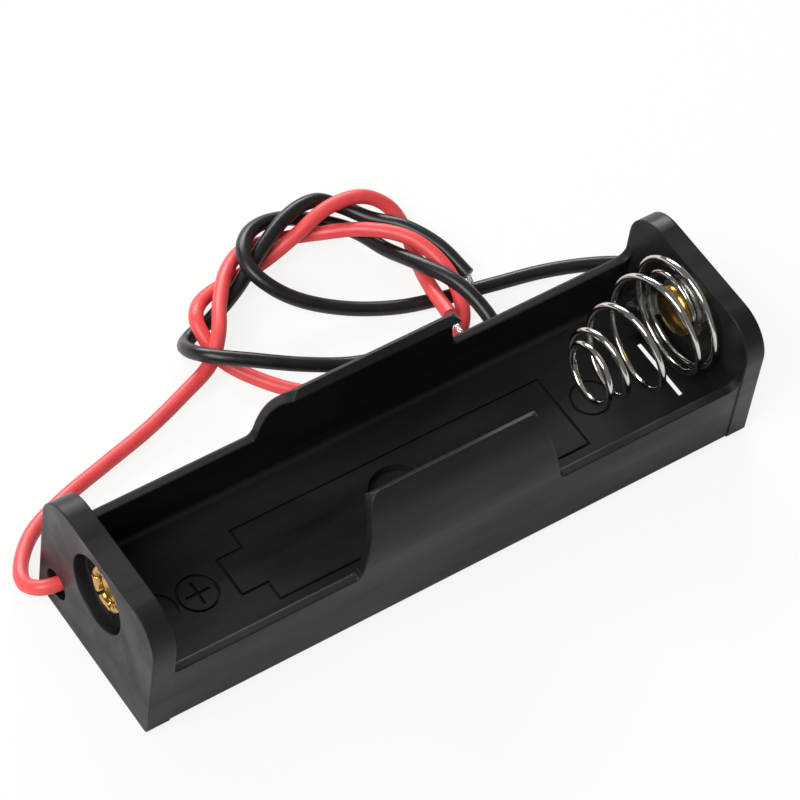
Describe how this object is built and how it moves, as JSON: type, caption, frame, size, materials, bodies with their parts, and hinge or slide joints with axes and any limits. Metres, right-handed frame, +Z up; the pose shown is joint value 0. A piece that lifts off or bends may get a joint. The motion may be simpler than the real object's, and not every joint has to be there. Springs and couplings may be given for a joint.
{
  "type": "cylindrical cell holder",
  "caption": "Open-top black holder for one standard AA-size cell: raised clips, a rivet contact, a conical spring contact, and red and black leads in a loose knot with bare ends.",
  "frame": {"origin": "centre of the housing's underside", "axes": "+X along the cell, from the button contact to the spring contact; +Y towards the side the leads lie on; +Z up, out of the open top"},
  "size_m": [0.0642, 0.0375, 0.0145],
  "materials": {
    "housing_plastic": "satin black",
    "brass": "bright",
    "tag_steel": "tinned",
    "spring_steel": "bright nickel",
    "solder": "smooth",
    "red_insulation": "satin",
    "black_insulation": "satin",
    "tinned_strands": "tinned"
  },
  "bodies": {
    "holder": {"housing": "housing_plastic", "positive_rivet": "brass", "negative_rivet": "brass", "positive_tag": "tag_steel", "negative_tag": "tag_steel", "positive_solder": "solder", "negative_solder": "solder", "red_lead": "red_insulation", "black_lead": "black_insulation", "red_joint_strands": "tinned_strands", "black_joint_strands": "tinned_strands", "red_loose_strands": "tinned_strands", "black_loose_strands": "tinned_strands"},
    "spring": {"negative_spring": "spring_steel"}
  },
  "joints": [
    {"name": "spring_press", "type": "slide", "parent": "holder", "child": "spring", "axis": [1, 0, 0], "range_m": [0, 0.0077], "stiffness_N_per_m": 300, "deforming": ["negative_spring"]}
  ]
}
